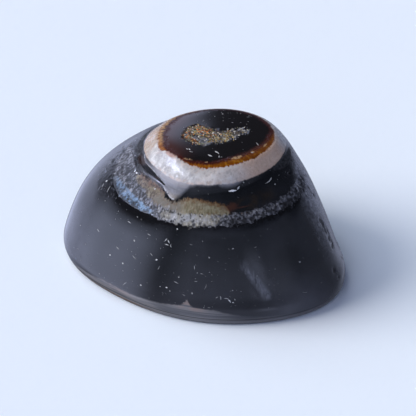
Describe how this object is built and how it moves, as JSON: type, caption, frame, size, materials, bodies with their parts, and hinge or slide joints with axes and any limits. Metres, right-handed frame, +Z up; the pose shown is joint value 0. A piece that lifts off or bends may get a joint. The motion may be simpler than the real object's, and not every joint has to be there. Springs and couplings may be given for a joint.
{
  "type": "eye agate cabochon",
  "caption": "Polished, domed eye agate with a flat base: a dark stone whose raised round eye has a white ring and a quartz seam.",
  "frame": {"origin": "on the flat base, below the middle of the stone's box", "axes": "+X along the stone's length, towards its steep end; +Y across it, towards its back; +Z up through the crown"},
  "size_m": [0.0198, 0.0188, 0.0096],
  "materials": {
    "agate": "polished to a gloss, with a rough natural skin on the ledge below the white ring"
  },
  "bodies": {
    "root": {"eye_agate": "agate"}
  },
  "joints": []
}
